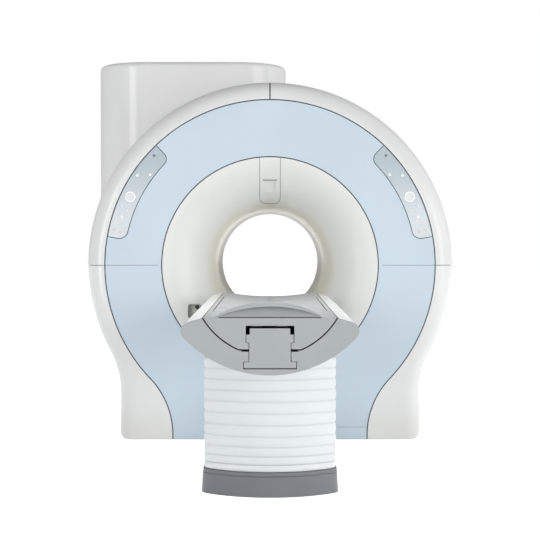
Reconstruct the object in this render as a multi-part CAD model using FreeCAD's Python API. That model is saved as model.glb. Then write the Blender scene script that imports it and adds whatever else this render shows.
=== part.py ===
"""A closed-bore MRI scanner with its patient table.

Millimetres. X points right, Y into the bore, Z up. The origin lies on the floor, straight below
the middle of the bore. The gantry stands round the origin and the table reaches out towards -Y.
"""
import FreeCAD, Part
import os
from math import asin, cos, degrees, hypot, pi, radians, sin, sqrt

V = FreeCAD.Vector

# --- Bore and magnet -------------------------------------------------------------------------
bore_r = 300.0              # clear patient bore
cover_r = 1010.0            # round top of the covers
floor_sink = 48.0           # the covers' circle would reach this far under the floor
bore_height = cover_r - floor_sink   # bore axis above the floor
liner_half_length = 350.0   # straight part of the bore, each way from the middle
liner_wall = 6.0
gantry_half_depth = 750.0   # front and rear face planes
leg_inset = 178.0
leg_half_width = cover_r - leg_inset   # covers at floor level
panel_band = 105.0          # white band between the covers' edge and the blue panel
panel_r = cover_r - panel_band     # round edge of the blue face panel
flare_rise = 293.0          # the bell-mouth opens by this much
mouth_r = bore_r + flare_rise      # ring seam round the flared bell-mouth
flare_depth = gantry_half_depth - liner_half_length
flare_lip_r = 0.82 * flare_rise    # tighter curve of the flare beside the ring seam
magnet_clear = 150.0        # covers to the magnet
vessel_r = cover_r - magnet_clear  # outside of the magnet's vacuum vessel
vessel_bore_r = bore_r + 150.0
vessel_end_room = 110.0     # magnet's end to the face plane
vessel_half_length = gantry_half_depth - vessel_end_room
vessel_wall = 10.0
shield_gap = 12.0           # vacuum gap between the vessel and its thermal shield
shield_wall = 3.0
helium_gap = 20.0           # vacuum gap between the shield and the helium vessel
helium_wall = 6.0
former_wall = 14.0
coil_depth = 62.0           # radial build of a main coil
coil_shares = ((-0.7344, 0.172), (-0.41, 0.125), (-0.138, 0.088),
               (0.138, 0.088), (0.41, 0.125), (0.7344, 0.172))
main_coils = [(place * vessel_half_length, width * vessel_half_length)
              for place, width in coil_shares]      # middle and width of each coil
shield_coil_r = vessel_r - 120.0
shield_coil_depth = 50.0
shield_coil_width = 60.0
coil_flange_y = 0.648 * vessel_half_length   # main coil former's end flanges carry the shield coils
coil_flange_wall = 18.0
rod_r = 9.0                 # suspension rods of the cold mass
rod_count = 6
rod_circle_r = shield_coil_r - 40.0
gradient_bore_r = bore_r + 35.0
gradient_half_length = liner_half_length + 130.0
coil_former_r = bore_r + 10.0   # radio coil former, outside the bore liner
coil_former_wall = 6.5
coil_former_half_length = liner_half_length - 20.0
rung_count = 16
rung_width = 22.0
rung_thickness = 2.0
end_ring_width = 30.0
rail_x, rail_width = 175.0, 24.0   # strips in the bore that guide the board
rail_height = 7.5
turret_x, turret_y = 560.0 - cover_r, 30.0
turret_r = 130.0
tower_rise = 178.0          # tower above the round covers
tower_top = bore_height + cover_r + tower_rise
turret_drop = 200.0         # tower top to the turret's flange
turret_top = tower_top - turret_drop
turret_flange = (170.0, 20.0)   # radius and thickness
turret_gap = 20.0
cold_head_r = 70.0
cold_head_height = 140.0
cold_head_flange = 25.0

# --- Gantry covers ---------------------------------------------------------------------------
waist_r = cover_r / 2       # hollow curve between the round top and a leg
foot_r = 45.0               # rounding of the outer foot corners
foot_spread = 2.0           # the rounding meets the leg's side at a slight angle
cover_round = 100.0         # rounding of the front and rear edges
cover_wall = 6.0
cover_floor = 3.0           # air under the covers
front_depth = gantry_half_depth / 1.5   # front and rear covers, from the face plane inwards
panel_leg_inset = 299.0
panel_leg_half_width = leg_half_width - panel_leg_inset
panel_waist_r = panel_r / 2
seam = 3.0                  # open seams between visible covers
fine_seam = 0.6             # closed seams
seat = 0.3                  # running or seating gap
lip_width = 11.0            # lip of the white covers behind the blue panel
lip_wall = 6.0
lip_join = 6.0              # overlap of the lip with the white covers' inside
mouth_lip = 22.0
kick_height = 70.0          # access flap at the foot of the blue panel, on the right only
kick_margin = 30.0
frame_ring_width = 30.0     # ring frames that carry the covers
frame_wall = 12.0
spoke_angles = (0, 40, 70, 110, 140, 180, 220, 320)
spoke_width = 40.0
post_r = shield_coil_r - 40.0
tower_left, tower_right = -cover_r - 22.0, 95.0
tower_front = front_depth - gantry_half_depth + 50.0   # behind the front covers
tower_back = gantry_half_depth - 250.0
tower_corner_r = 0.414 * (tower_back - tower_front)
tower_edge_r = 28.0

# --- Alignment light, control panels, connector pocket -----------------------------------------
light_half_width = 57.0
light_low_r = bore_r + 43.0      # lower end of the light cover, measured from the bore axis
light_corner_r = 30.0
slot_half_width = 40.0
slot_r = mouth_r - 125.0    # light slot, measured from the bore axis
slot_height = 7.0
hood_half_width = 30.0
hood_height = 62.0
hood_depth = 4.0
control_width = 104.0       # control panels: strips along the edge of the blue panel
control_inner_r = panel_r - control_width
panel_low_angle, panel_high_angle = 10.0, 46.5
panel_low_corner_r = 48.0
panel_high_corner_r = 42.0
panel_flange, panel_flange_wall = 10.0, 2.0
button_rise = 2.5
button_flange = 3.0
button_rim = 0.8
button_collar = 1.5
lamp_rise, lamp_depth = 0.8, 2.0
home_button = (26.1, 52.0, 20.0)     # angle above the bore axis, inset from the panel's edge, radius
ring_outer_r = 30.0
ring_rise = 1.5
small_buttons = {"up": (21.9, 30.0, 8.0), "down": (21.2, 66.0, 8.0)}
lamps = ((43.4, 31.0, 8.0), (18.0, 51.0, 9.0), (34.1, 28.0, 7.0), (37.1, 82.0, 7.0),
         (15.6, 26.0, 7.0), (16.8, 62.0, 7.0), (12.9, 30.0, 7.0), (12.6, 65.0, 7.0))
port_angle, port_r = 211.5, mouth_r - 108.0   # connector pocket low on the left of the bell-mouth
port_size = (84.0, 84.0)
port_corner_r = 14.0
port_depth = 34.0
port_wall = 4.0
plug_r = 22.0
plug_height = 16.0
plug_groove_r, plug_groove = 15.0, 3.0

# --- Base ------------------------------------------------------------------------------------
saddle_half_width = 620.0
saddle_y = 400.0
saddle_wall = 40.0
runner_width = 180.0
runner_half_length = 600.0
runner_height = 20.0
tie_half_width = 70.0       # flat bar under the middle of the magnet
anchor_x, anchor_y = saddle_half_width - 100.0, runner_half_length - 80.0
anchor_r = 9.0

# --- Table -----------------------------------------------------------------------------------
table_front, table_back = -3050.0, -762.0
board_half_width = 250.0
board_clear = 9.0           # board underside to the bore wall
bed_gap = 5.0               # board underside to its bed
board_rim_z = bore_height - 150.0
rim_rise = 2.0              # outward slope of the rims
groove_x, groove_width, groove_depth = 233.0, 5.0, 6.0   # strap grooves in the rims
groove_start, groove_length = 480.0, 1260.0
trough_half_width = 226.0
trough_z = board_rim_z - 19.0   # lowest line of the board's hollow top
board_flat_z = bore_height - 267.0   # flat middle of the underside
board_block = 110.0         # solid length at the board's handle end
handle_rise = 60.0
handle_half_width = 212.0
handle_length = 120.0
handle_crest = 54.0         # level part of the handle before it slopes down to its heel
handle_heel = 6.0
handle_band = 17.0
handle_nose_r = 7.0
grip_slot = 4.0             # open slot along the foot of the recess
grip_floor = grip_slot + 1.5
grip_depth = 26.0           # the recess under the lip, a slope that is deepest at its top
grip_half_width = 192.0
block_half = 75.5           # shuttle block, half widths from the top down
flange_half = 88.5
flange_low_z, flange_top_z = board_flat_z + 25.0, board_flat_z + 55.0
web_half = 77.5
foot_half = 98.0
foot_low_z, foot_top_z = board_flat_z - 71.0, board_flat_z - 47.0
beam_slot_z = foot_low_z - 4.0   # floor of the beam's slot
block_top_z = board_rim_z - 39.0
slot_gap = 2.5              # side clearance of the shuttle in its slots
slot_top_z = board_rim_z - 29.0
shuttle_length = 1390.0
glide_half_width = 18.0
glide_x = 48.0
step_x, step_z = 107.0, board_flat_z - 9.0   # lower step of the bed beside the shuttle
wing_tip_x, wing_tip_z = 334.0, bore_height - 199.0
wing_tip_r = 35.0
shoulder_turn = radians(162.0)   # where the wing's rounded tip meets its top, from straight down
hull_z = bore_height - 365.0   # lowest line of the boat-shaped hull
hull_wall = 6.0
end_cap_length = 14.0
beam_half_width = 140.0
beam_chamber = 24.0
beam_skin = 8.0
column_room = 10.0
gear_size = (60.0, 110.0, 26.0)   # gear case of the board drive, beside the beam
drive_y = -1400.0
motor_r, motor_length = 25.0, 220.0

# --- Lift ------------------------------------------------------------------------------------
lift_y = -1890.0
lift_travel = 300.0
stage_half_x, stage_half_y = 130.0, 300.0
stage_wall = 10.0
stage_gap = 0.4
base_plate_wall = 25.0
stage_spare = 92.0
stage_length = (hull_z - base_plate_wall - stage_spare) / 2
stage_corner_r = 24.0
stage_corner_share = 0.6    # share of a step inwards taken off the corner's radius
lift_plate = 20.0
actuator_r = (50.0, 38.0, 26.0)
actuator_wall = 8.0
actuator_gap = 3.6          # room for the seals between two tubes
bellows_half_width = 290.0
bellows_nose_r = 411.0      # round front and back of the bellows, seen from above
bellows_nose_y = 460.0      # from the lift's middle to the tip of the round front
bellows_corner_r = 70.0
bellows_low_z, bellows_top_z = 105.0, hull_z - 7.0
pleats = 11
pleat_depth = 7.0
pleat_edge = 0.2            # share of a pleat taken by each sloping edge
bellows_wall = 3.0
collar_wall = 12.0
plinth_half_width = 300.0
plinth_wall = 10.0
plinth_groove_z = 86.0
plinth_lean = 5.0           # the plinth leans in by this much up to its groove
plinth_groove = ((plinth_lean, 0), (plinth_lean + 4, 1), (plinth_lean + 4, 4),
                 (plinth_lean + 1, 5))      # step inwards and rise above the groove's foot
plinth_top_inset = plinth_lean + 2
table_anchor_x, table_anchor_y = 200.0, 350.0
duct_half_width = 90.0
duct_height = 50.0
duct_wall = 4.0
duct_overlap = 200.0        # the duct is cut to the plinth's outline
duct_reach = 60.0           # how far the floor duct runs in under the covers

face_y = -gantry_half_depth
axis_point = V(0, 0, bore_height)
os.makedirs("parts", exist_ok=True)


def save(name, shape):
    """Write one named piece."""
    shape.exportStep(f"parts/{name}.step")


def box(x0, x1, y0, y1, z0, z1):
    """A block between two limits on each axis."""
    return Part.makeBox(x1 - x0, y1 - y0, z1 - z0, V(x0, y0, z0))


def solid_along_y(wire, y0, y1):
    """Push a closed wire in the XZ plane along Y, from y0 to y1."""
    face = Part.Face(wire)
    face.translate(V(0, y0, 0))
    return face.extrude(V(0, y1 - y0, 0))


def disc(radius, y0, y1, x=0.0, z=bore_height):
    """A round bar along Y."""
    return Part.makeCylinder(radius, y1 - y0, V(x, y0, z), V(0, 1, 0))


def ring(inner, outer, y0, y1, x=0.0, z=bore_height):
    """A round tube along Y."""
    return disc(outer, y0, y1, x, z).cut(disc(inner, y0 - 1, y1 + 1, x, z))


def both_ends(shape):
    """The shape and its mirror image at the other end of the bore."""
    return shape.mirror(V(0, 0, 0), V(0, 1, 0))


def polar(angle, radius):
    """The (x, z) place at an angle above the bore axis and a radius from it, to the right."""
    return radius * cos(radians(angle)), bore_height + radius * sin(radians(angle))


def arc(a, b, c):
    """An arc through three points given as (x, z)."""
    return Part.Arc(*[V(x, 0, z) for x, z in (a, b, c)]).toShape()


def line(a, b):
    """A straight edge between two (x, z) points."""
    return Part.LineSegment(V(a[0], 0, a[1]), V(b[0], 0, b[1])).toShape()


def outline(radius, half_width, waist, floor):
    """Round top, hollow waists and straight legs: the shape of the gantry seen from the front."""
    waist_x = half_width + waist
    drop = sqrt((radius + waist) ** 2 - waist_x ** 2)
    waist_z = bore_height - drop
    share = radius / (radius + waist)
    shoulder = (waist_x * share, bore_height - drop * share)
    turn = asin(drop / (radius + waist)) / 2
    middle = (waist_x - waist * cos(turn), waist_z + waist * sin(turn))
    right = [line((half_width, floor), (half_width, waist_z)),
             arc((half_width, waist_z), middle, shoulder)]
    left = [edge.mirror(V(0, 0, 0), V(1, 0, 0)) for edge in right]
    top = arc(shoulder, (0, bore_height + radius), (-shoulder[0], shoulder[1]))
    bottom = line((-half_width, floor), (half_width, floor))
    return Part.Wire(Part.__sortEdges__(right + [top] + left + [bottom]))


def rounded_feet(y0, y1):
    """All space over the floor line, with the two outer foot corners rounded off."""
    top = cover_r * 3
    corner_z = cover_floor + foot_r
    half = leg_half_width + foot_spread
    space = box(-cover_r * 2, cover_r * 2, y0, y1, corner_z, top)
    foot = box(-half, half, y0, y1, cover_floor, top)
    low = [e for e in foot.Edges if e.BoundBox.YLength > y1 - y0 - 1
           and e.BoundBox.ZMax < corner_z]
    return space.fuse(foot.makeFillet(foot_r, low))


def cover_body(inset, y0, y1, rounded):
    """The gantry's outer form, a wall thickness inside the surface, with its round front edge."""
    floor = cover_floor if inset == 0 else cover_floor - foot_r
    wire = outline(cover_r - inset, leg_half_width - inset, waist_r + inset, floor)
    body = solid_along_y(wire, y0, y1)
    if rounded:
        rim = [e for e in body.Edges
               if e.BoundBox.YMax - y0 < 0.01 and e.BoundBox.ZMax > floor + 1]
        body = body.makeFillet(cover_round - inset, rim)
    return body


def side_half(right, z0=-10.0, z1=3 * cover_r, gap=seam):
    """Everything on one side of the middle plane, less half a seam, between two heights."""
    wide = cover_r * 2
    if right:
        return box(gap / 2, wide, -wide, wide, z0, z1)
    return box(-wide, -gap / 2, -wide, wide, z0, z1)


# --- Front and rear covers ---------------------------------------------------------------------
def cover_shell(y0, y1, rounded):
    """A hollow cover, open at its inner end and underneath."""
    outer = cover_body(0, y0, y1, rounded).common(rounded_feet(y0 - 1, y1 + 1))
    start = y0 + cover_wall if rounded else y0 - 1
    return outer.cut(cover_body(cover_wall, start, y1 + 1, rounded))


def panel_prism(offset, y0, y1, floor=-50.0):
    """The outline of the blue face panel, made larger by an offset, pushed along Y."""
    wire = outline(panel_r + offset, panel_leg_half_width + offset, panel_waist_r - offset, floor)
    return solid_along_y(wire, y0, y1)


front_end = face_y + front_depth
plate_back = face_y + cover_wall
front_shell = cover_shell(face_y, front_end, True)
white = front_shell.cut(panel_prism(seam, face_y - 1, front_end + 1))
lip = panel_prism(seam + lip_join, plate_back, plate_back + lip_wall, cover_floor)
lip = lip.cut(panel_prism(-lip_width, plate_back - 1, plate_back + lip_wall + 1))
lip = lip.common(cover_body(cover_wall, plate_back, front_end, True))
white = white.fuse(lip)
for side, right in (("left", False), ("right", True)):
    save(f"front_shell_upper_{side}", white.common(side_half(right, bore_height + seam / 2)))
    save(f"front_shell_lower_{side}", white.common(side_half(right, -10, bore_height - seam / 2)))

blue = front_shell.common(panel_prism(0, face_y - 1, plate_back + 1))
blue = blue.cut(disc(mouth_r + seam, face_y - 1, plate_back + 1))


def panel_outline(angle0, angle1, inner, outer, corner0, corner1, mirrored):
    """A control panel's face: a strip between two radii, with its inner corners rounded."""
    places = [polar(angle, radius) for radius in (inner, outer)
              for angle in (angle0, (angle0 + angle1) / 2, angle1)]
    a0, am, a1, b0, bm, b1 = places
    wire = Part.Wire([arc(a0, am, a1), line(a1, b1), arc(b1, bm, b0), line(b0, a0)])
    plate = solid_along_y(wire, 0, 1)
    for (x, z), radius in ((a0, corner0), (a1, corner1)):
        corner = [e for e in plate.Edges if e.BoundBox.YLength > 0.9
                  and hypot(e.BoundBox.XMin - x, e.BoundBox.ZMin - z) < 1
                  and e.BoundBox.XLength < 0.5]
        plate = plate.makeFillet(radius, corner)
    if mirrored:
        plate = plate.mirror(V(0, 0, 0), V(1, 0, 0))
    face = [f for f in plate.Faces if f.BoundBox.YMax < 0.5][0]
    return face.OuterWire


def panel_plate(grow, mirrored, y0, y1):
    """A control panel plate, made larger all round."""
    turn = degrees(grow / panel_r)
    wire = panel_outline(panel_low_angle - turn, panel_high_angle + turn, control_inner_r - grow,
                         panel_r - seam + grow, panel_low_corner_r + grow,
                         panel_high_corner_r + grow, mirrored)
    return solid_along_y(wire, y0, y1)


def panel_spot(angle, inset, mirrored):
    """The (x, z) place of a button or lamp; the left panel is the mirrored one."""
    x, z = polar(angle, panel_r - inset)
    return (-x, z) if mirrored else (x, z)


lamp_set = []
flange_back = plate_back + panel_flange_wall
for side, mirrored in (("left", True), ("right", False)):
    blue = blue.cut(panel_plate(fine_seam, mirrored, face_y - 1, plate_back + 1))
    panel = panel_plate(0, mirrored, face_y, plate_back)
    flange = panel_plate(panel_flange, mirrored, plate_back, flange_back)
    panel = panel.fuse(flange.common(panel_prism(-lip_width - 1, plate_back, flange_back)))
    buttons = {"home": home_button, **small_buttons}
    for name, (angle, inset, size) in buttons.items():
        x, z = panel_spot(angle, inset, mirrored)
        head_back = flange_back + seat
        button = disc(size, face_y - button_rise, head_back, x, z)
        rim = [e for e in button.Edges if e.BoundBox.YMax < face_y - button_rise + 0.1]
        button = button.makeChamfer(button_rim, rim)
        button = button.fuse(disc(size + button_flange, head_back, head_back + button_collar, x, z))
        save(f"{name}_button_{side}", button)
        panel = panel.cut(disc(size + seat, face_y - 1, flange_back + 1, x, z))
    x, z = panel_spot(*home_button[:2], mirrored)
    panel = panel.fuse(ring(home_button[2] + 1, ring_outer_r, face_y - ring_rise, face_y, x, z))
    for angle, inset, size in lamps:
        x, z = panel_spot(angle, inset, mirrored)
        panel = panel.cut(disc(size + seat, face_y - 1, face_y + lamp_depth, x, z))
        lamp_set.append(disc(size, face_y - lamp_rise, face_y + lamp_depth, x, z))
    save(f"control_panel_{side}", panel)
save("panel_lamps", Part.makeCompound(lamp_set))

middle = bore_height
full = cover_r * 2
save("face_panel_upper", blue.common(box(-full, full, -full, full, middle + seam / 2, full * 2)))
kick_left = duct_half_width + kick_margin
lower_blue = blue.common(box(-full, full, -full, full, 0, middle - seam / 2))
lower_blue = lower_blue.cut(box(kick_left - seam, full, -full, full, 0, kick_height + seam))
kick = blue.common(box(kick_left, full, -full, full, 0, kick_height))
kick_lip = panel_leg_half_width - lip_width - seat
kick = kick.fuse(box(kick_left - mouth_lip, kick_lip, plate_back, plate_back + lip_wall / 2,
                     cover_floor + seam, kick_height + mouth_lip))
duct_hole = box(-duct_half_width - fine_seam, duct_half_width + fine_seam, face_y - 1,
                plate_back + lip_wall, -1, duct_height + fine_seam)
save("face_panel_lower", lower_blue.cut(duct_hole))
save("kick_plate", kick)


# --- Bell-mouths and bore liner ------------------------------------------------------------------
def soft_corner(length, rise, end_r):
    """Two arcs that turn smoothly from one axis to the other, like a quarter of an oval.

    They start along the length and end along the rise, with end_r as the second radius.
    Returns the first radius and the (along, up) point where the arcs meet.
    """
    rest = length - end_r
    start_r = (rest ** 2 + rise ** 2 - end_r ** 2) / (2 * (rise - end_r))
    share = start_r / hypot(rest, rise - start_r)
    return start_r, (rest * share, start_r - (start_r - rise) * share)


throat_r, throat_meet = soft_corner(flare_depth, flare_rise, flare_lip_r)


def flare_point(centre, radius, angle):
    """A point over the bore axis on one of the flare's arcs, its angle measured from straight down
    towards the front."""
    along, up = centre
    return V(0, -liner_half_length - along - radius * sin(angle),
             bore_height + bore_r + up - radius * cos(angle))


def flare_edges(inset):
    """The flare's two arcs, a wall thickness behind the surface, and their two free ends."""
    turn = asin(throat_meet[0] / throat_r)
    edges = []
    for centre, radius, start, stop in (
            ((0, throat_r), throat_r - inset, 0, turn),
            ((flare_depth - flare_lip_r, flare_rise), flare_lip_r - inset, turn, pi / 2)):
        points = [flare_point(centre, radius, angle)
                  for angle in (start, (start + stop) / 2, stop)]
        edges.append(Part.Arc(*points).toShape())
        if start == 0:
            throat_end = points[0]
    return edges, throat_end, points[2]


def turned(wire):
    """Turn a closed wire in the YZ plane round the bore axis."""
    return Part.Face(wire).revolve(axis_point, V(0, 1, 0), 360)


front_edges, front_throat, front_tip = flare_edges(0)
back_edges, back_throat, back_tip = flare_edges(cover_wall)
mouth = turned(Part.Wire(Part.__sortEdges__(
    front_edges + back_edges + [Part.LineSegment(front_throat, back_throat).toShape(),
                                Part.LineSegment(back_tip, front_tip).toShape()])))
mouth = mouth.fuse(ring(mouth_r - mouth_lip, mouth_r + mouth_lip, plate_back,
                        plate_back + lip_wall))
save("rear_bell_mouth", both_ends(mouth))


def light_prism(grow, y0, y1):
    """The outline of the alignment light cover: square at the ring seam, round at its low end."""
    half = light_half_width + grow
    low = bore_height + light_low_r - grow
    block = box(-half, half, y0, y1, low, bore_height + mouth_r + 1)
    corners = [e for e in block.Edges if e.BoundBox.YLength > 1 and e.BoundBox.ZMax < low + 1]
    return block.makeFillet(light_corner_r + grow, corners)


def flare_y(radius):
    """Where the front flare lies at a radius from the bore axis."""
    up = radius - bore_r
    if up < throat_meet[1]:
        along = sqrt(throat_r ** 2 - (throat_r - up) ** 2)
    else:
        along = flare_depth - flare_lip_r + sqrt(flare_lip_r ** 2 - (flare_rise - up) ** 2)
    return -liner_half_length - along


def side_prism(points, half_width):
    """Push a closed outline of (y, z) points both ways along X."""
    wire = Part.makePolygon([V(-half_width, y, z) for y, z in points + points[:1]])
    return Part.Face(wire).extrude(V(2 * half_width, 0, 0))


light = mouth.common(light_prism(0, face_y - 1, -liner_half_length))
mouth = mouth.cut(light_prism(fine_seam, face_y - 1, -liner_half_length))
slot_z = bore_height + slot_r
hood_z = slot_z - hood_height
window_back = flare_y(slot_r) + cover_wall
window = box(-slot_half_width, slot_half_width, window_back - slot_height, window_back,
             slot_z - slot_height / 2, slot_z + slot_height / 2)
hood = side_prism([(face_y - 1, hood_z), (flare_y(hood_z - bore_height), hood_z),
                   (flare_y(slot_r) + hood_depth, slot_z), (face_y - 1, slot_z)],
                  hood_half_width)
light = light.cut(hood)
slot_cut = window.copy()
slot_cut.translate(V(0, -slot_height, 0))
light = light.cut(slot_cut.fuse(window))
save("light_cover", light)
save("light_window", window)

port_x = port_r * cos(radians(port_angle))
port_z = bore_height + port_r * sin(radians(port_angle))
port_w, port_h = port_size


def port_block(grow, y0, y1):
    """The connector pocket's rounded outline, pushed along Y."""
    half_w, half_h = port_w / 2 + grow, port_h / 2 + grow
    block = box(port_x - half_w, port_x + half_w, y0, y1, port_z - half_h, port_z + half_h)
    return block.makeFillet(port_corner_r + grow,
                            [e for e in block.Edges if e.BoundBox.YLength > 1])


port_back = flare_y(port_r) + port_depth
outer = V(0, 0, cover_r)
behind_flare = turned(Part.Wire(Part.__sortEdges__(back_edges + [
    Part.LineSegment(back_throat, back_throat + outer).toShape(),
    Part.LineSegment(back_throat + outer, V(0, back_tip.y, (back_throat + outer).z)).toShape(),
    Part.LineSegment(V(0, back_tip.y, (back_throat + outer).z), back_tip).toShape()])))
pocket = port_block(0, face_y - 1, port_back).cut(
    port_block(-port_wall, face_y - 2, port_back - port_wall))
pocket = pocket.common(behind_flare)
mouth = mouth.cut(port_block(-port_wall, face_y - 1, port_back))
plug = disc(plug_r, port_back - port_wall - plug_height, port_back - port_wall, port_x, port_z)
plug = plug.cut(ring(plug_groove_r, plug_groove_r + plug_groove, port_back - port_wall - plug_height - 1,
                     port_back - port_wall - plug_height / 2, port_x, port_z))
save("connector_pocket", pocket.fuse(plug))
save("front_bell_mouth", mouth)
save("bore_liner", ring(bore_r, bore_r + liner_wall, -liner_half_length + seat / 2,
                        liner_half_length - seat / 2))


# --- Frames that carry the covers ------------------------------------------------------------------
frame_front = plate_back + lip_wall
frame_back = frame_front + frame_wall
vessel_end = -vessel_half_length
rim_ring_r = panel_r - lip_width
frame = ring(rim_ring_r - frame_ring_width / 2, rim_ring_r + frame_ring_width / 2, frame_front,
             frame_back)
frame = frame.fuse(ring(mouth_r - mouth_lip, mouth_r + mouth_lip, frame_front, frame_back))
for angle in spoke_angles:
    spoke = box(mouth_r, rim_ring_r, frame_front, frame_back, bore_height - spoke_width / 2,
                bore_height + spoke_width / 2)
    post = box(post_r - spoke_width / 2, post_r + spoke_width / 2, frame_front, vessel_end,
               bore_height - spoke_width / 2, bore_height + spoke_width / 2)
    arm = spoke.fuse(post)
    arm.rotate(axis_point, V(0, -1, 0), angle)
    frame = frame.fuse(arm)
save("cover_frames", Part.makeCompound([frame, both_ends(frame)]))


# --- Side covers, rear covers and tower --------------------------------------------------------------
shell_ring = cover_shell(front_end + fine_seam, -front_end - fine_seam, False)
turret_hole = Part.makeCylinder(turret_flange[0] + turret_gap, cover_r,
                                V(turret_x, turret_y, bore_height))
save("side_cover_right", shell_ring.common(side_half(True, gap=fine_seam)))
save("side_cover_left", shell_ring.common(side_half(False, gap=fine_seam)).cut(turret_hole))

rear = both_ends(front_shell).cut(disc(mouth_r + seam, -plate_back - 1, gantry_half_depth + 1))
for side, right in (("left", False), ("right", True)):
    save(f"rear_shell_{side}", rear.common(side_half(right, gap=fine_seam)))


def tower_block(inset):
    """The tower's plain form, a wall thickness inside its surface."""
    low = bore_height - 10 * inset
    block = box(tower_left + inset, tower_right - inset, tower_front + inset,
                tower_back - inset, low, tower_top - inset)
    upright = [e for e in block.Edges if e.BoundBox.ZLength > tower_top - bore_height - 1]
    block = block.makeFillet(tower_corner_r - inset, upright)
    top = [e for e in block.Edges if e.BoundBox.ZMin > tower_top - inset - 0.1]
    return block.makeFillet(tower_edge_r - inset, top)


tower = tower_block(0).cut(tower_block(cover_wall))
tower = tower.cut(solid_along_y(outline(cover_r + seat, leg_half_width, waist_r, 0), -full, full))
save("tower_cover", tower)


# --- Magnet ----------------------------------------------------------------------------------------
def vessel(inner, outer, half_length, wall):
    """A closed hollow drum round the bore axis."""
    drum = ring(inner, outer, -half_length, half_length)
    return drum.cut(ring(inner + wall, outer - wall, -half_length + wall, half_length - wall))


def round_circle(shape, radius_count):
    """Copies of a shape spread round the bore axis."""
    copies = []
    for n in range(radius_count):
        copy = shape.copy()
        copy.rotate(axis_point, V(0, 1, 0), 360 * (n + 0.5) / radius_count)
        copies.append(copy)
    return copies


save("vacuum_vessel", vessel(vessel_bore_r, vessel_r, vessel_half_length, vessel_wall))
shield_inset = vessel_wall + shield_gap
shield_half = vessel_half_length - shield_inset
shield = vessel(vessel_bore_r + shield_inset, vessel_r - shield_inset, shield_half, shield_wall)
helium_inset = shield_inset + shield_wall + helium_gap
helium_half = vessel_half_length - helium_inset
helium_inner = vessel_bore_r + helium_inset
helium_outer = vessel_r - helium_inset
rod_start = helium_half
rod_end = vessel_half_length - vessel_wall
rod = disc(rod_r, rod_start, rod_end, rod_circle_r)
rod_hole = disc(rod_r + seat, rod_start, rod_end, rod_circle_r)
rods = round_circle(rod, rod_count)
for hole in round_circle(rod_hole, rod_count):
    shield = shield.cut(hole).cut(both_ends(hole))
save("suspension_rods", Part.makeCompound(rods + [both_ends(r) for r in rods]))
save("thermal_shield", shield)
save("helium_vessel", vessel(helium_inner, helium_outer, helium_half, helium_wall))

former_inner = helium_inner + helium_wall + seat
former_outer = former_inner + former_wall
former_half = helium_half - helium_wall - seat
former = ring(former_inner, former_outer, -former_half, former_half)
flange = ring(former_outer, shield_coil_r + shield_coil_depth, coil_flange_y - coil_flange_wall,
              coil_flange_y)
former = former.fuse(flange).fuse(both_ends(flange))
coils = []
for centre, width in main_coils:
    coils.append(ring(former_outer, former_outer + coil_depth, centre - width / 2,
                      centre + width / 2))
save("coil_former", former)
outer_coil = ring(shield_coil_r, shield_coil_r + shield_coil_depth, coil_flange_y,
                  coil_flange_y + shield_coil_width)
save("magnet_coils", Part.makeCompound(coils + [outer_coil, both_ends(outer_coil)]))

save("gradient_coil", ring(gradient_bore_r, vessel_bore_r - seat, -gradient_half_length,
                           gradient_half_length))
coil_outer = coil_former_r + coil_former_wall
coil_half = coil_former_half_length
radio_former = ring(coil_former_r, coil_outer, -coil_half, coil_half)
rib = ring(coil_outer, gradient_bore_r - seat, coil_half - coil_former_wall, coil_half)
save("radio_coil_former", radio_former.fuse(rib).fuse(both_ends(rib)))
rung_half = coil_half - 2 * coil_former_wall - end_ring_width
copper = ring(coil_outer, coil_outer + rung_thickness, rung_half, rung_half + end_ring_width)
copper = copper.fuse(both_ends(copper))
strip = box(0, coil_outer * 2, -rung_half - 1, rung_half + 1, bore_height - rung_width / 2,
            bore_height + rung_width / 2)
tube = ring(coil_outer, coil_outer + rung_thickness, -rung_half - 1, rung_half + 1)
for bar in round_circle(strip, rung_count):
    copper = copper.fuse(tube.common(bar))
save("radio_coil_rungs", copper)

rail = ring(bore_r - rail_height, bore_r - seat, -liner_half_length + 2, liner_half_length - 2)
rails = []
for sign in (-1, 1):
    x0, x1 = sorted((sign * (rail_x - rail_width / 2), sign * (rail_x + rail_width / 2)))
    rails.append(rail.common(box(x0, x1, -full, full, 0, bore_height)))
save("bore_rails", Part.makeCompound(rails))

neck = Part.makeCylinder(turret_r, turret_top - bore_height, V(turret_x, turret_y, bore_height))
neck = neck.cut(disc(vessel_r + seat, -full, full))
flange_r, flange_wall = turret_flange
neck = neck.fuse(Part.makeCylinder(flange_r, flange_wall, V(turret_x, turret_y, turret_top)))
save("service_turret", neck)
head_z = turret_top + flange_wall
head = Part.makeCylinder(cold_head_r, cold_head_height, V(turret_x, turret_y, head_z))
head = head.fuse(Part.makeCylinder(cold_head_r + cold_head_flange, flange_wall,
                                   V(turret_x, turret_y, head_z)))
head = head.fuse(box(turret_x, turret_x + cold_head_r * 2, turret_y - cold_head_r / 2,
                     turret_y + cold_head_r / 2, head_z + cold_head_height / 2,
                     head_z + cold_head_height))
save("cold_head", head)

saddle_r = vessel_r + seat
saddle_top = bore_height - sqrt(saddle_r ** 2 - saddle_half_width ** 2)
saddle = box(-saddle_half_width, saddle_half_width, saddle_y - saddle_wall / 2,
             saddle_y + saddle_wall / 2, 0, saddle_top).cut(disc(saddle_r, 0, full))
runner = box(saddle_half_width - runner_width, saddle_half_width, -runner_half_length,
             runner_half_length, 0, runner_height)
for y in (-anchor_y, anchor_y):
    runner = runner.cut(Part.makeCylinder(anchor_r, runner_height, V(anchor_x, y, 0)))
tie = box(-tie_half_width, tie_half_width, -saddle_y, saddle_y, 0, runner_height)
base = saddle.fuse(both_ends(saddle)).fuse(tie).fuse(runner).fuse(runner.mirror(V(0, 0, 0), V(1, 0, 0)))
save("base_frame", base)


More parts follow.
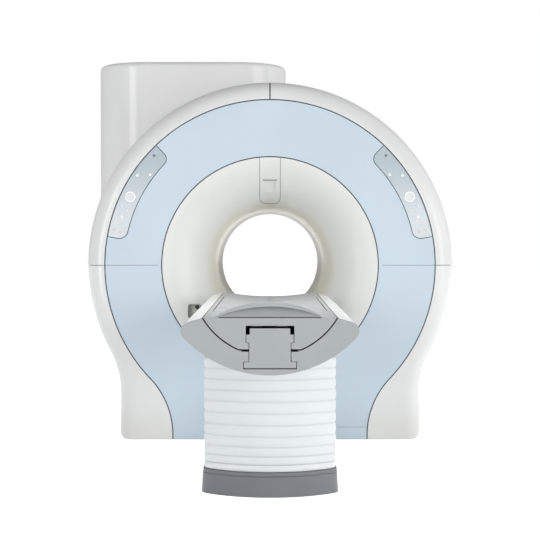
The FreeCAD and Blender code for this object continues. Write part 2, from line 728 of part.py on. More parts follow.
# --- Table: board, shuttle, hull ---------------------------------------------------------------------
board_r = bore_r - board_clear
bed_r = board_r + bed_gap


def arc_height(radius, x):
    """The height of an arc round the bore axis, at a distance to the side."""
    return bore_height - sqrt(radius ** 2 - x ** 2)


def mirrored_outline(edges):
    """Close a half outline, given from the middle to the middle, with its mirror image."""
    other = [edge.mirror(V(0, 0, 0), V(1, 0, 0)) for edge in edges]
    return Part.Wire(Part.__sortEdges__(edges + other))


def path(*points):
    """Straight edges through (x, z) points."""
    return [line(a, b) for a, b in zip(points, points[1:])]


flat_x = sqrt(board_r ** 2 - (bore_height - board_flat_z) ** 2)
rim_low = (board_half_width, arc_height(board_r, board_half_width))
arc_middle_x = (flat_x + board_half_width) / 2
slot_lip_z = flange_low_z - slot_gap / 2
under = path((web_half + slot_gap, board_flat_z), (flat_x, board_flat_z)) + [
    arc((flat_x, board_flat_z), (arc_middle_x, arc_height(board_r, arc_middle_x)), rim_low)]
slot_edges = path((0, slot_top_z), (flange_half + slot_gap, slot_top_z),
                  (flange_half + slot_gap, slot_lip_z), (web_half + slot_gap, slot_lip_z),
                  (web_half + slot_gap, board_flat_z))
rim_edges = path(rim_low, (board_half_width, board_rim_z + rim_rise),
                 (trough_half_width, board_rim_z))
solid_top = path((trough_half_width, board_rim_z), (0, board_rim_z))
block_wire = mirrored_outline(under + slot_edges + rim_edges + solid_top)
trough = arc((trough_half_width, board_rim_z), (0, trough_z), (-trough_half_width, board_rim_z))
outer_half = under + slot_edges + rim_edges
other_half = [edge.mirror(V(0, 0, 0), V(1, 0, 0)) for edge in outer_half]
board_wire = Part.Wire(Part.__sortEdges__(outer_half + other_half + [trough]))
trough_start = table_front + board_block
board = solid_along_y(block_wire, table_front, trough_start)
board = board.fuse(solid_along_y(board_wire, trough_start, table_back))
for x in (-groove_x, groove_x):
    board = board.cut(box(x - groove_width / 2, x + groove_width / 2, table_front + groove_start,
                          table_front + groove_start + groove_length,
                          board_rim_z - groove_depth, board_rim_z + rim_rise + 1))
save("board", board.removeSplitter())


def bow_wire(half_width, low, rise):
    """A flat chord with an arch over it."""
    return Part.Wire([line((-half_width, low), (half_width, low)),
                      arc((half_width, low), (0, low + rise), (-half_width, low))])


bow = solid_along_y(bow_wire(handle_half_width, board_rim_z + seat, handle_rise), table_front,
                    table_front + handle_length)
handle_z = board_rim_z + seat
slope = side_prism([(table_front + handle_crest, handle_z + handle_rise + 1),
                    (table_front + handle_length + 1, handle_z + handle_heel),
                    (table_front + handle_length + 1, handle_z + handle_rise + 1)], full)
bow = bow.cut(slope)
nose = [e for e in bow.Edges if e.BoundBox.YMax < table_front + 0.1 and e.BoundBox.ZLength > 9]
bow = bow.makeFillet(handle_nose_r, nose)
grip_low, grip_rise = handle_z + grip_floor, handle_rise - handle_band - grip_floor
grip = solid_along_y(bow_wire(grip_half_width, grip_low, grip_rise), table_front - 1,
                     table_front + grip_depth)
grip = grip.common(side_prism([(table_front - 1, grip_low - 1), (table_front, grip_low - 1),
                               (table_front + grip_depth, grip_low + grip_rise),
                               (table_front - 1, grip_low + grip_rise)], full))
shadow_slot = box(-grip_half_width, grip_half_width, table_front - 1, table_front + grip_depth,
                  handle_z - 1, handle_z + grip_slot)
save("board_handle", bow.cut(grip).cut(shadow_slot))

half_block = path((0, block_top_z), (block_half, block_top_z), (block_half, flange_top_z),
                  (flange_half, flange_top_z), (flange_half, flange_low_z),
                  (web_half, flange_low_z), (web_half, foot_top_z), (foot_half, foot_top_z),
                  (foot_half, foot_low_z), (0, foot_low_z))
shuttle_end = table_front + shuttle_length
save("shuttle", solid_along_y(mirrored_outline(half_block), table_front, shuttle_end))
glides = []
for x in (-glide_x, glide_x):
    for low, high in ((block_top_z, slot_top_z - seat), (beam_slot_z + seat, foot_low_z)):
        glides.append(box(x - glide_half_width, x + glide_half_width, table_front + board_block,
                          shuttle_end, low, high))
save("shuttle_glides", Part.makeCompound(glides))

bed_flat_z = step_z
bed_floor_z = board_flat_z - bed_gap
bed_x = sqrt(bed_r ** 2 - (bore_height - bed_floor_z) ** 2)
bed_rim = (board_half_width + bed_gap, arc_height(bed_r, board_half_width + bed_gap))
bed_middle_x = (bed_x + bed_rim[0]) / 2
bed_arc = arc((bed_x, bed_floor_z), (bed_middle_x, arc_height(bed_r, bed_middle_x)), bed_rim)
bed_edges = path((web_half + slot_gap, bed_flat_z), (step_x, bed_flat_z), (step_x, bed_floor_z),
                 (bed_x, bed_floor_z)) + [bed_arc]
foot_slot = path((0, beam_slot_z), (foot_half + slot_gap, beam_slot_z),
                 (foot_half + slot_gap, foot_top_z + slot_gap / 2),
                 (web_half + slot_gap, foot_top_z + slot_gap / 2),
                 (web_half + slot_gap, bed_flat_z))


tip_x, tip_rise = wing_tip_x - wing_tip_r, wing_tip_z - hull_z
keel_r = (tip_x ** 2 + tip_rise ** 2 - wing_tip_r ** 2) / (2 * (tip_rise - wing_tip_r))
keel_turn = asin(tip_x / (keel_r - wing_tip_r))


def hull_height(x, inset):
    """The height of the boat's underside at a distance to the side, a wall behind the skin."""
    return hull_z + keel_r - sqrt((keel_r - inset) ** 2 - x ** 2)


def hull_wire(inset, inner_edges, rim):
    """A closed hull section: the bed inside, the wing on top and one boat-shaped arc outside."""
    def around(x, z, radius, *angles):
        """An arc by its angles from straight down towards the side."""
        return arc(*[(x + radius * sin(angle), z - radius * cos(angle)) for angle in angles])

    keel = around(0, hull_z + keel_r, keel_r - inset, 0, keel_turn / 2, keel_turn)
    tip = around(tip_x, wing_tip_z, wing_tip_r - inset, keel_turn, pi / 2, shoulder_turn)
    shoulder = (tip_x + (wing_tip_r - inset) * sin(shoulder_turn),
                wing_tip_z - (wing_tip_r - inset) * cos(shoulder_turn))
    return mirrored_outline(inner_edges + path(rim, shoulder) + [tip, keel])


def keel_arc(half_width, inset):
    """An arc along the boat's underside, a wall behind the skin, out to a distance each side."""
    side = hull_height(half_width, inset)
    return arc((-half_width, side), (0, hull_height(0, inset)), (half_width, side))


def keel_block(half_width, inset, y0, y1):
    """A block between the underside and the level chord through its sides."""
    side = hull_height(half_width, inset)
    return solid_along_y(Part.Wire([keel_arc(half_width, inset),
                                    line((half_width, side), (-half_width, side))]), y0, y1)


cap_wire = hull_wire(0, bed_edges + foot_slot, bed_rim)
cap_back = table_front + end_cap_length
save("table_end_cap", solid_along_y(cap_wire, table_front, cap_back))
plain_bed = path((0, bed_floor_z), (bed_x, bed_floor_z)) + [bed_arc]
hull = solid_along_y(hull_wire(0, plain_bed, bed_rim), cap_back, table_back)
hollow_rim = (bed_rim[0] + hull_wall / 2, bed_rim[1] - hull_wall)
hollow_start = (bed_x + hull_wall / 2, bed_floor_z - hull_wall)
hollow_bed = path((0, hollow_start[1]), hollow_start) + [
    arc(hollow_start, (bed_middle_x + hull_wall / 2,
                       arc_height(bed_r, bed_middle_x) - hull_wall), hollow_rim)]
hollow = solid_along_y(hull_wire(hull_wall, hollow_bed, hollow_rim), cap_back - 1,
                       table_back - hull_wall)
beam_inset = hull_wall + 2 * seat


space_half, space_inset = beam_half_width + seat, beam_inset - seat
beam_space = box(-space_half, space_half, cap_back - 1, table_back + 1,
                 hull_height(space_half, space_inset), board_rim_z)
beam_space = beam_space.fuse(keel_block(space_half, space_inset, cap_back - 1, table_back + 1))
column_space = box(-stage_half_x - column_room, stage_half_x + column_room,
                   lift_y - stage_half_y - column_room, lift_y + stage_half_y + column_room,
                   hull_z - 1, bed_flat_z)
save("table_hull", hull.cut(hollow).cut(beam_space).cut(column_space))

beam_low_z = hull_height(beam_half_width, beam_inset)
beam_half = foot_slot + path((web_half + slot_gap, bed_flat_z), (beam_half_width, bed_flat_z),
                             (beam_half_width, beam_low_z))
beam_other = [edge.mirror(V(0, 0, 0), V(1, 0, 0)) for edge in beam_half]
beam_wire = Part.Wire(Part.__sortEdges__(beam_half + beam_other + [keel_arc(beam_half_width, beam_inset)]))
beam = solid_along_y(beam_wire, cap_back, table_back)
chamber_x = (foot_half + slot_gap + beam_half_width) / 2
for x in (-chamber_x, chamber_x):
    beam = beam.cut(box(x - beam_chamber / 2, x + beam_chamber / 2, cap_back - 1, table_back + 1,
                        beam_low_z + beam_skin, bed_flat_z - beam_skin))
save("slotted_beam", beam)
gear_x, gear_y, gear_z = gear_size
gear_low = bed_flat_z - gear_z
drive = box(beam_half_width + seat, beam_half_width + gear_x, drive_y, drive_y + gear_y,
            gear_low, bed_flat_z - seat)
drive = drive.fuse(disc(motor_r, drive_y - motor_length / 2, drive_y + gear_y,
                        beam_half_width + gear_x, gear_low + gear_z))
save("board_drive", drive)
hull_body = keel_block(tip_x, -seat, cap_back, table_back)


# --- Lift: base plate, three-stage column, bellows, plinth -----------------------------------------
def plan_wire(inset, z):
    """The bellows seen from above: straight sides, round corners, round front and back."""
    half, nose_r, corner_r = (bellows_half_width - inset, bellows_nose_r - inset,
                              bellows_corner_r - inset)
    nose_centre = bellows_nose_y - bellows_nose_r
    corner_x = half - corner_r
    reach = nose_r - corner_r
    corner_y = nose_centre + sqrt(reach ** 2 - corner_x ** 2)
    touch = (corner_x * nose_r / reach, nose_centre + (corner_y - nose_centre) * nose_r / reach)
    turn = (pi / 2 - asin(corner_x / reach)) / 2
    middle = (corner_x + corner_r * cos(turn), corner_y + corner_r * sin(turn))

    def place(x, y):
        return V(x, lift_y + y, z)

    def bend(a, b, c):
        return Part.Arc(place(*a), place(*b), place(*c)).toShape()

    edges = []
    for way in (1, -1):
        edges.append(bend((-touch[0] * way, touch[1] * way), (0, (nose_centre + nose_r) * way),
                          (touch[0] * way, touch[1] * way)))
        edges.append(bend((touch[0] * way, touch[1] * way), (middle[0] * way, middle[1] * way),
                          (half * way, corner_y * way)))
        edges.append(Part.LineSegment(place(half * way, corner_y * way),
                                      place(half * way, -corner_y * way)).toShape())
        edges.append(bend((half * way, -corner_y * way), (middle[0] * way, -middle[1] * way),
                          (touch[0] * way, -touch[1] * way)))
    return Part.Wire(edges)


def plan_prism(inset, z0, z1):
    """A straight block on the bellows' plan."""
    return Part.Face(plan_wire(inset, z0)).extrude(V(0, 0, z1 - z0))


def pleated(inset):
    """The folded form: each pleat leans out, stands upright and leans in again."""
    pitch = (bellows_top_z - bellows_low_z) / pleats
    wires = []
    for n in range(pleats):
        low = bellows_low_z + n * pitch
        wires.append(plan_wire(pleat_depth + inset, low))
        wires.append(plan_wire(inset, low + pitch * pleat_edge))
        wires.append(plan_wire(inset, low + pitch * (1 - pleat_edge)))
    wires.append(plan_wire(pleat_depth + inset, bellows_top_z))
    return Part.makeLoft(wires, True, True)


bellows = pleated(0).cut(pleated(bellows_wall))
save("bellows", bellows)
collar_inset = pleat_depth / 2
collar_top = hull_height(bellows_half_width - collar_inset, 0)
collar = plan_prism(collar_inset, bellows_top_z + seat, collar_top)
collar = collar.cut(plan_prism(collar_inset + collar_wall, bellows_top_z - 1, collar_top + 1))
save("bellows_collar", collar.cut(hull_body))

stage_x, stage_y = stage_half_x, stage_half_y


def stage(inset, low, high):
    """One tube of the telescopic column, smaller by an inset all round."""
    def bar(shrink):
        block = box(-stage_x + shrink, stage_x - shrink, lift_y - stage_y + shrink,
                    lift_y + stage_y - shrink, low, high)
        upright = [e for e in block.Edges if e.BoundBox.ZLength > high - low - 1]
        return block.makeFillet(stage_corner_r - shrink * stage_corner_share, upright)
    return bar(inset).cut(bar(inset + stage_wall))


step_in = stage_wall + stage_gap
column_low = base_plate_wall
save("column_outer", stage(0, column_low, column_low + stage_length))
middle_low = column_low + lift_travel / 2 + seat
save("column_middle", stage(step_in, middle_low, middle_low + stage_length))
plate_low = hull_height(0, beam_inset) - seat - lift_plate
inner = stage(2 * step_in, plate_low - stage_length, plate_low)
plate = box(-stage_x, stage_x, lift_y - stage_y, lift_y + stage_y, plate_low,
            hull_height(stage_x, beam_inset))
plate = plate.cut(keel_block(beam_half_width, beam_inset - seat, lift_y - stage_y - 1,
                             lift_y + stage_y + 1))
plate = plate.cut(box(-beam_half_width, beam_half_width, lift_y - stage_y - 1,
                      lift_y + stage_y + 1, beam_low_z - seat, bed_flat_z))
save("column_inner", inner.fuse(plate))
names = ("lift_cylinder", "lift_sleeve", "lift_rod")
lows = (column_low, middle_low, plate_low - stage_length)
for name, low, radius in zip(names, lows, actuator_r):
    bar = Part.makeCylinder(radius, stage_length, V(0, lift_y, low))
    if name != "lift_rod":
        bar = bar.cut(Part.makeCylinder(radius - actuator_wall - actuator_gap, stage_length + 2,
                                        V(0, lift_y, low - 1)))
    save(name, bar)

plinth_inset = bellows_half_width - plinth_half_width
wires = [plan_wire(plinth_inset, 0)]
for inward, rise in plinth_groove:
    wires.append(plan_wire(plinth_inset + inward, plinth_groove_z + rise))
wires.append(plan_wire(plinth_inset + plinth_top_inset, bellows_low_z - seat))
plinth = Part.makeLoft(wires, True, True)
roof = bellows_low_z - seat - plinth_wall
plinth = plinth.cut(plan_prism(plinth_inset + plinth_lean + plinth_wall, -1, roof))
plinth = plinth.cut(box(-stage_x - seat, stage_x + seat, lift_y - stage_y - seat,
                        lift_y + stage_y + seat, 0, bellows_low_z + 1))
table_base = plan_prism(plinth_inset + plinth_lean + plinth_wall + seat, 0, base_plate_wall)
for x in (-table_anchor_x, table_anchor_x):
    for y in (-table_anchor_y, table_anchor_y):
        table_base = table_base.cut(Part.makeCylinder(anchor_r, base_plate_wall,
                                                      V(x, lift_y + y, 0)))
save("table_base_plate", table_base)
duct_start = lift_y + bellows_nose_y - duct_overlap
duct = box(-duct_half_width, duct_half_width, duct_start, face_y + duct_reach, 0, duct_height)
duct = duct.cut(box(-duct_half_width + duct_wall, duct_half_width - duct_wall, duct_start - 1,
                    face_y + duct_reach + 1, -1, duct_height - duct_wall))
outside = [plan_wire(plinth_inset - seat, -1),
           plan_wire(plinth_inset + plinth_lean - seat, plinth_groove_z)]
duct = duct.cut(Part.makeLoft(outside, True, True))
save("floor_duct", duct)
save("plinth", plinth)
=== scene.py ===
# %% [markdown]
# # A closed-bore MRI scanner
# The scanner stands on the floor with its patient table in front of it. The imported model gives
# every rigid piece its true place and size in metres: X to the right, Y into the bore, Z up, and
# the origin on the floor below the middle of the bore. This notebook adds the camera, the light,
# the finishes, and the soft or softly rounded pieces that a solid model leaves plain.

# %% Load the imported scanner
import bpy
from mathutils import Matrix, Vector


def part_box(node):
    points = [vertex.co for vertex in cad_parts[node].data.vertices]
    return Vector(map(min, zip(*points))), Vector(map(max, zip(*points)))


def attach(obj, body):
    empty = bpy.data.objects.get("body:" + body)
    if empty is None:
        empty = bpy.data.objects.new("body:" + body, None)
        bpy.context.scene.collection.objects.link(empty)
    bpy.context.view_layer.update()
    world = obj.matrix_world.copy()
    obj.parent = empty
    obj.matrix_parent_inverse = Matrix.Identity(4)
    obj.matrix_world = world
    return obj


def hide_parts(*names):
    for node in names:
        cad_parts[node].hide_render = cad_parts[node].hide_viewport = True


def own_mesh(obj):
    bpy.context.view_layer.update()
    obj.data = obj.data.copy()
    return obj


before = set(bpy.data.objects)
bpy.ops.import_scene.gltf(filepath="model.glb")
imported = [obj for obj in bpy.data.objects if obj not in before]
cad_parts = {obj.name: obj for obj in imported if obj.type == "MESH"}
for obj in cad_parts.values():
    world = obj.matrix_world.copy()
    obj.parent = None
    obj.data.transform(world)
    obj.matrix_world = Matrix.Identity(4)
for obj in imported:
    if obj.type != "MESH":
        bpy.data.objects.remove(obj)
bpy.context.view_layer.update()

import bpy
import numpy as np
from mathutils import Vector

scene = bpy.context.scene

# %% [markdown]
# ## The camera
# The photograph looks straight at the front of the scanner from eye height, a long way off: the
# rear opening of the bore shows small inside the front one. A long lens eight metres away gives
# that view, tipped down a little so that the table's plinth is in the frame.

# %% The camera
lens_mm = 87.3
camera_place = Vector((0.0, -7.935, 1.110))
camera_tilt = np.radians(1.39)


def add_camera():
    """A camera that looks along +Y, tipped down a little."""
    data = bpy.data.cameras.new("camera")
    data.lens, data.sensor_width, data.clip_end = lens_mm, 36.0, 60.0
    thing = bpy.data.objects.new("camera", data)
    thing.location = camera_place
    thing.rotation_euler = (np.pi / 2 - camera_tilt, 0.0, 0.0)
    scene.collection.objects.link(thing)
    scene.camera = thing
    return thing


camera = add_camera()
scene.view_settings.view_transform = "Standard"
print("camera at", tuple(camera.location))

# %% [markdown]
# ## Shader maths as plain expressions
# A shader is a network of small nodes. Written out one by one they are hard to read, so a small
# class wraps a node's output and lets + - * and ** build the Math nodes. Another class makes the
# nodes of one tree, and a finish is such a tree for one material: it sets the numbers of the
# surface shader and feeds it with such expressions.


# %% A wrapped socket and a finish
class Wire:
    """A number that varies over a surface. Sums with it add Math nodes to the shader."""

    def __init__(self, finish, socket):
        self.finish, self.socket = finish, socket

    def maths(self, operation, *values):
        inputs = dict(enumerate((self,) + values))
        return self.finish.node("Math", {"operation": operation}, inputs)

    def __add__(self, other):
        return self.maths("ADD", other)

    def __sub__(self, other):
        return self.maths("SUBTRACT", other)

    def __rsub__(self, other):
        return self * -1.0 + other

    def __mul__(self, other):
        return self.maths("MULTIPLY", other)

    def __pow__(self, other):
        return self.maths("POWER", other)

    def over(self, low, high):
        """0 below low, 1 above high, and smooth between them."""
        settings = {"interpolation_type": "SMOOTHSTEP"}
        return self.finish.node("MapRange", settings, {0: self, 1: low, 2: high})

    __rmul__ = __mul__


def linear(rgb):
    """A colour as a screen shows it, 0 to 255, turned into the light it stands for."""
    share = np.asarray(rgb, float) / 255
    light = np.where(share <= 0.04045, share / 12.92, ((share + 0.055) / 1.055) ** 2.4)
    return tuple(float(v) for v in light) + (1.0,)


def darker(colour, share):
    """The light of a colour times a share, or times one share each for red, green and blue."""
    return tuple(map(float, np.array(linear(colour)[:3]) * share)) + (1.0,)


def length(across, along):
    """The long side of a right triangle: of two wires, or of two numbers."""
    return (across * across + along * along) ** 0.5


class Nodes:
    """The node tree of a material or a world, with the shader that it ends in."""

    def __init__(self, owner, shader):
        owner.use_nodes = True
        self.tree = owner.node_tree
        self.shader = self.tree.nodes[shader]

    def node(self, kind, settings, inputs, out=0):
        """Any node by its type, its settings and its inputs, and one of its outputs."""
        made = self.tree.nodes.new("ShaderNode" + kind)
        for name, value in settings.items():
            setattr(made, name, value)
        for name, value in inputs.items():
            if isinstance(value, Wire):
                self.tree.links.new(value.socket, made.inputs[name])
            else:
                made.inputs[name].default_value = value
        return Wire(self, made.outputs[out])

    def rays(self, *kinds):
        """1 for each kind of ray that looks at the shader, and 0 for the others."""
        outputs = self.node("LightPath", {}, {}).socket.node.outputs
        return [Wire(self, outputs[f"Is {kind} Ray"]) for kind in kinds]

    def feed(self, socket, wire):
        """Lets a surface input vary."""
        self.tree.links.new(wire.socket, self.shader.inputs[socket])
        return self


class Finish(Nodes):
    """One procedural material, built on Blender's surface shader."""

    def __init__(self, name, **numbers):
        self.material = bpy.data.materials.new(name)
        super().__init__(self.material, "Principled BSDF")
        for socket, value in numbers.items():
            self.shader.inputs[socket.replace("_", " ")].default_value = value

    def place(self):
        """The point on the piece, in metres, as a vector."""
        return self.node("TexCoord", {}, {}, "Object")

    def axes(self):
        """The point on the piece as three numbers."""
        apart = self.node("SeparateXYZ", {}, {0: self.place()})
        return [Wire(self, socket) for socket in apart.socket.node.outputs]

    def noise(self, scale, detail=2.0, rough=0.5, at=None):
        """Soft noise from 0 to 1, with scale cells in a metre."""
        inputs = {"Vector": at or self.place(), "Scale": scale, "Detail": detail,
                  "Roughness": rough}
        return self.node("TexNoise", {"normalize": True}, inputs)

    def blend(self, share, first, second):
        """A colour between two, by a share from 0 to 1."""
        names = {0: share, 6: first, 7: second}
        return self.node("Mix", {"data_type": "RGBA"}, names, 2)

    def bump(self, height, depth, strength=1.0, after=None):
        """A relief: height from 0 to 1 stands for a depth in metres."""
        inputs = {"Height": height, "Distance": depth, "Strength": strength}
        if after:
            inputs["Normal"] = after
        return self.node("Bump", {}, inputs)


def cover(things, finish):
    """Gives a finish to CAD nodes, by name, or to pieces."""
    for thing in things:
        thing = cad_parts[thing] if isinstance(thing, str) else thing
        thing.data.materials.clear()
        thing.data.materials.append(finish.material)
    print(finish.material.name, "on", len(things), "pieces")

# %% [markdown]
# ## The floor and the light
# The photograph was cut out on white. Here the floor and the world are white only where the
# camera, or a reflection, sees them; the floor still takes the shadow of the scanner. Two tall
# soft boxes stand to the left and right of the camera, because the rounded corners of the tower
# show one bright upright stripe each, and a wide one behind the camera fills the front. A small
# one hangs over the table. Lamps without shine light the sides, the back and the bell-mouth.


# %% The floor, the world and the lamps
def seen_white(finish):
    """1 for the rays that look at the backdrop: the camera's, and those of gloss and glass."""
    camera_ray, glossy_ray, clear_ray = finish.rays("Camera", "Glossy", "Transmission")
    return (camera_ray + glossy_ray + clear_ray).over(0.0, 1.0)


def add_floor():
    """A wide plane whose shadows stay, and whose lit parts run to white for the camera."""
    half = 30.0
    mesh = bpy.data.meshes.new("floor")
    corners = [(-half, -half, 0), (half, -half, 0), (half, half, 0), (-half, half, 0)]
    mesh.from_pydata(corners, [], [(0, 1, 2, 3)])
    floor = bpy.data.objects.new("floor", mesh)
    scene.collection.objects.link(floor)
    finish = Finish("floor_white", Base_Color=linear((226, 227, 228)), Roughness=0.9,
                    Specular_IOR_Level=0.1, Emission_Strength=1.0)
    x, y, z = finish.axes()
    away = length(x, y + 1.2)
    near, far = linear((222, 222, 222)), (1.0, 1.0, 1.0, 1.0)
    glow = finish.blend(away.over(2.6, 4.2), near, far)
    finish.feed("Emission Color", finish.blend(seen_white(finish), (0, 0, 0, 1), glow))
    mesh.materials.append(finish.material)


def light_world(ambient, overhead_share=0.35):
    """A grey sky, darker overhead, which looks white to the camera."""
    world = bpy.data.worlds.new("world")
    sky = Nodes(world, "Background")
    camera_ray, clear_ray = sky.rays("Camera", "Transmission")
    way = sky.node("TexCoord", {}, {}, "Generated")
    height = sky.node("SeparateXYZ", {}, {0: way}, "Z")
    grey = sky.node("MapRange", {}, {"Value": height, "From Min": 0.2, "From Max": 0.9,
                                     "To Min": ambient, "To Max": overhead_share * ambient})
    seen = camera_ray.maths("MAXIMUM", clear_ray)
    sky.feed("Strength", sky.node("MapRange", {}, {"Value": seen, "To Min": grey}))
    sky.shader.inputs["Color"].default_value = (1, 1, 1, 1)
    scene.world = world


def add_soft_box(name, place, target, size, power, spread=180.0, shine=True):
    """A rectangular lamp that faces a target; a grid narrows it, and a matt one has no shine."""
    data = bpy.data.lights.new(name, "AREA")
    data.shape, data.size, data.size_y, data.energy = "RECTANGLE", size[0], size[1], power
    data.spread = np.radians(spread)
    lamp = bpy.data.objects.new(name, data)
    lamp.location = place
    lamp.rotation_euler = (Vector(target) - Vector(place)).to_track_quat("-Z", "Y").to_euler()
    lamp.visible_glossy = lamp.visible_camera = shine
    scene.collection.objects.link(lamp)


add_floor()
light_world(0.56)
add_soft_box("left_box", (-4.2, -5.4, 1.5), (0, -0.6, 1.1), (1.7, 3.8), 83)
add_soft_box("right_box", (5.2, -4.6, 1.5), (0, -0.6, 1.1), (3.0, 3.8), 94)
add_soft_box("right_matt", (5.2, -4.6, 1.5), (0, -0.6, 1.1), (3.0, 3.8), 136, shine=False)
add_soft_box("front_box", (0.0, -12.5, 1.7), (0, -0.6, 1.0), (8.0, 3.0), 186)
add_soft_box("top_box", (0.0, -4.2, 4.6), (0, -1.6, 0.6), (3.4, 2.0), 6)
add_soft_box("table_box", (0.0, -2.1, 3.4), (0, -2.1, 0.8), (1.2, 1.6), 9, spread=50)
for side in (-1, 1):
    add_soft_box(f"side_box_{side}", (5.6 * side, -0.4, 2.4), (0, -0.2, 1.1), (2.6, 2.6), 46,
                 shine=False)
    add_soft_box(f"mouth_fill_{side}", (0, -0.55, 1.02), (side, -0.55, 1.02), (0.3, 0.3), 0.2,
                 shine=False)
add_soft_box("rear_box", (0.0, 5.2, 4.4), (0, 0.6, 1.3), (3.6, 2.6), 175, shine=False)
print("floor, world, nine soft boxes and two small fills")

# %% [markdown]
# ## The painted covers
# The gantry wears glass-fibre shells, sprayed with a satin paint. Close up, such paint has a
# fine orange peel, and the colour drifts a little from shell to shell. So each cover finish
# mixes a slow drift into its colour, varies its gloss, carries two scales of relief, and turns a
# little darker, warmer and rougher near the floor.


# %% Lines of the gantry and of the table, as the solid model has them
bore_height, bore_r, mouth_r = 0.962, 0.300, 0.593
panel_r, cover_r, face_y = 0.905, 1.010, -0.750
bed_inner, bed_outer, end_face_y = 0.290, 0.2973, -3.050
slot_half, slot_low, slot_high = 0.1170, 0.6190, 0.7930


# %% The paint of the covers
def from_bore(x, z):
    """The distance from the axis of the bore."""
    return length(x, z - bore_height)


def seam_film_and_shade(finish, paint):
    """Grey sliding film where the board, its bed and the shuttle run on each other, painted near
    black as painted shade where the gaps open at the end face.

    The film lies on the two arcs round the bore axis, and in the slots under the board, but not
    on the end faces that close them.
    """
    x, y, z = finish.axes()
    radius, wide, edge = from_bore(x, z), x.maths("ABSOLUTE"), 0.0005
    arcs = radius.over(bed_inner - edge, bed_inner + edge) * (
        1.0 - radius.over(bed_outer - edge, bed_outer + edge))
    slots = (1.0 - wide.over(slot_half, slot_half + edge)) * (
        1.0 - z.over(slot_high - edge, slot_high + edge)) * z.over(slot_low - edge,
                                                                   slot_low + edge)
    behind = y.over(end_face_y + 0.0004, end_face_y + 0.0008)
    # Painted shade: near black close to the end face, where the gaps open, and grey film further
    # in.
    far_in = y.over(end_face_y + 0.02, end_face_y + 0.06)
    film = finish.blend(far_in, linear((30, 32, 34)), linear((104, 108, 110)))
    return finish.blend(arcs.maths("MAXIMUM", slots) * behind, paint, film)


def sprayed(name, colour, drift=0.985, rough=0.335, coat=0.5, marks=None):
    """Satin paint: a slow colour drift, uneven gloss, orange peel, and a darker, rougher tone
    near the floor.

    Marks is a function that paints something more over the colour.
    """
    finish = Finish(name, Specular_IOR_Level=0.5, Coat_Roughness=0.12, Coat_Weight=coat)
    paint = finish.blend(finish.noise(2.3, 3.0).over(0.3, 0.7), darker(colour, drift),
                         linear(colour))
    height = finish.axes()[2]
    # Darker, warmer and rougher towards the floor, in noisy patches.
    near_floor = (1.0 - height.over(0.0, 0.28)) * (finish.noise(9.0, 5.0, 0.6) * 0.5 + 0.2)
    paint = finish.blend(near_floor, paint, darker(colour, (0.78, 0.76, 0.72)))
    finish.feed("Base Color", marks(finish, paint) if marks else paint)
    gloss = finish.noise(6.0, 4.0, 0.6) * 0.10 + (rough - 0.05) + near_floor * 0.3
    finish.feed("Roughness", gloss)
    peel = finish.bump(finish.noise(420.0, 2.0), 0.000015)
    return finish.feed("Normal", finish.bump(finish.noise(5.0, 1.0), 0.0006, 0.6, peel))


white_paint = sprayed("white_cover_paint", (226, 227, 226))
blue_paint = sprayed("blue_panel_paint", (197, 213, 225), drift=0.96, rough=0.36, coat=0.2)


def painted_throat_shade(finish, paint):
    """Painted shade: the bell-mouth's paint turns darker and warmer towards the bore, where less
    light reaches.
    """
    x, y, z = finish.axes()
    return finish.blend(from_bore(x, z).over(0.295, 0.375), linear((207, 204, 188)), paint)


mouth_paint = sprayed("bell_mouth_paint", (224, 225, 222), coat=0.12, marks=painted_throat_shade)

shells = ["front_shell_upper_left", "front_shell_upper_right", "front_shell_lower_left",
          "front_shell_lower_right", "side_cover_left", "side_cover_right", "rear_shell_left",
          "rear_shell_right", "tower_cover"]
cover(shells, white_paint)
cover(["table_hull"], sprayed("table_white_paint", (228, 230, 229), marks=seam_film_and_shade))
cover(["face_panel_upper", "face_panel_lower", "kick_plate"], blue_paint)
cover(["front_bell_mouth", "rear_bell_mouth", "light_cover"], mouth_paint)

# %% [markdown]
# ## The moulded parts
# The table's end, the board and the shuttle that pulls it are grey mouldings. Moulded plastic
# has a fine spark texture, and it is rubbed smoother where hands and sheets pass. A texture of
# small cells gives the spark, and slow noise makes the rubbed patches.


# %% Moulded, machined and wound finishes
def moulded(name, colour, rough=0.42, grain=700.0, depth=0.00008, drift=0.96, marks=None):
    """Textured plastic: cell-like grain, rubbed patches and a slight drift of colour."""
    finish = Finish(name)
    tint = finish.blend(finish.noise(4.0, 3.0).over(0.35, 0.65), darker(colour, drift),
                        linear(colour))
    finish.feed("Base Color", marks(finish, tint) if marks else tint)
    rubbed = finish.noise(7.0, 4.0, 0.6).over(0.45, 0.7)
    finish.feed("Roughness", rough - rubbed * 0.08)
    cells = finish.node("TexVoronoi", {}, {"Vector": finish.place(), "Scale": grain})
    return finish.feed("Normal", finish.bump(cells, depth, 0.7))


def brushed(name, colour, rough, axis=(1.0, 1.0, 60.0)):
    """Machined or drawn metal: noise stretched along the tool's path."""
    finish = Finish(name, Metallic=1.0)
    stretched = finish.node("Mapping", {}, {"Vector": finish.place(), "Scale": axis})
    lines = finish.noise(30.0, 3.0, 0.6, at=stretched)
    finish.feed("Base Color", finish.blend(lines, darker(colour, 0.82), linear(colour)))
    finish.feed("Roughness", lines * 0.16 + rough)
    return finish.feed("Normal", finish.bump(lines, 0.00004))


def painted_socket_hole(finish, tint):
    """Painted shade: a near-black disc for the shadowed opening of a socket beside the plug,
    high in the connector pocket.
    """
    x, y, z = finish.axes()
    away = length(x + 0.402, z - 0.730)
    return finish.blend(away.over(0.011, 0.013), linear((20, 22, 22)), tint)


